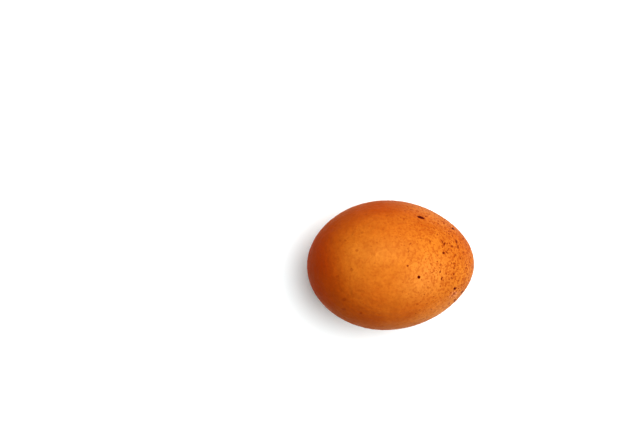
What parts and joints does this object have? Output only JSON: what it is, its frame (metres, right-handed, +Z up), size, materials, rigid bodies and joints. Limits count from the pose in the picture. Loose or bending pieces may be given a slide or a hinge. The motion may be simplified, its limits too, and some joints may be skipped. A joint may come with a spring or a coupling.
{
  "type": "egg",
  "caption": "Whole brown hen's egg in its shell, lying on its side on a small flat spot, with fine speckles towards the pointed end.",
  "frame": {"origin": "middle of the small flat that the egg rests on, straight below its centre of gravity, on the surface it lies on", "axes": "+X along the egg towards its pointed end, +Y across it, +Z up. The long axis lies in the XZ plane and dips about 4.8 degrees towards the pointed end, as a real egg lies"},
  "size_m": [0.0564, 0.0434, 0.0434],
  "materials": {
    "shell": "satin"
  },
  "bodies": {
    "root": {"egg": "shell"}
  },
  "joints": []
}
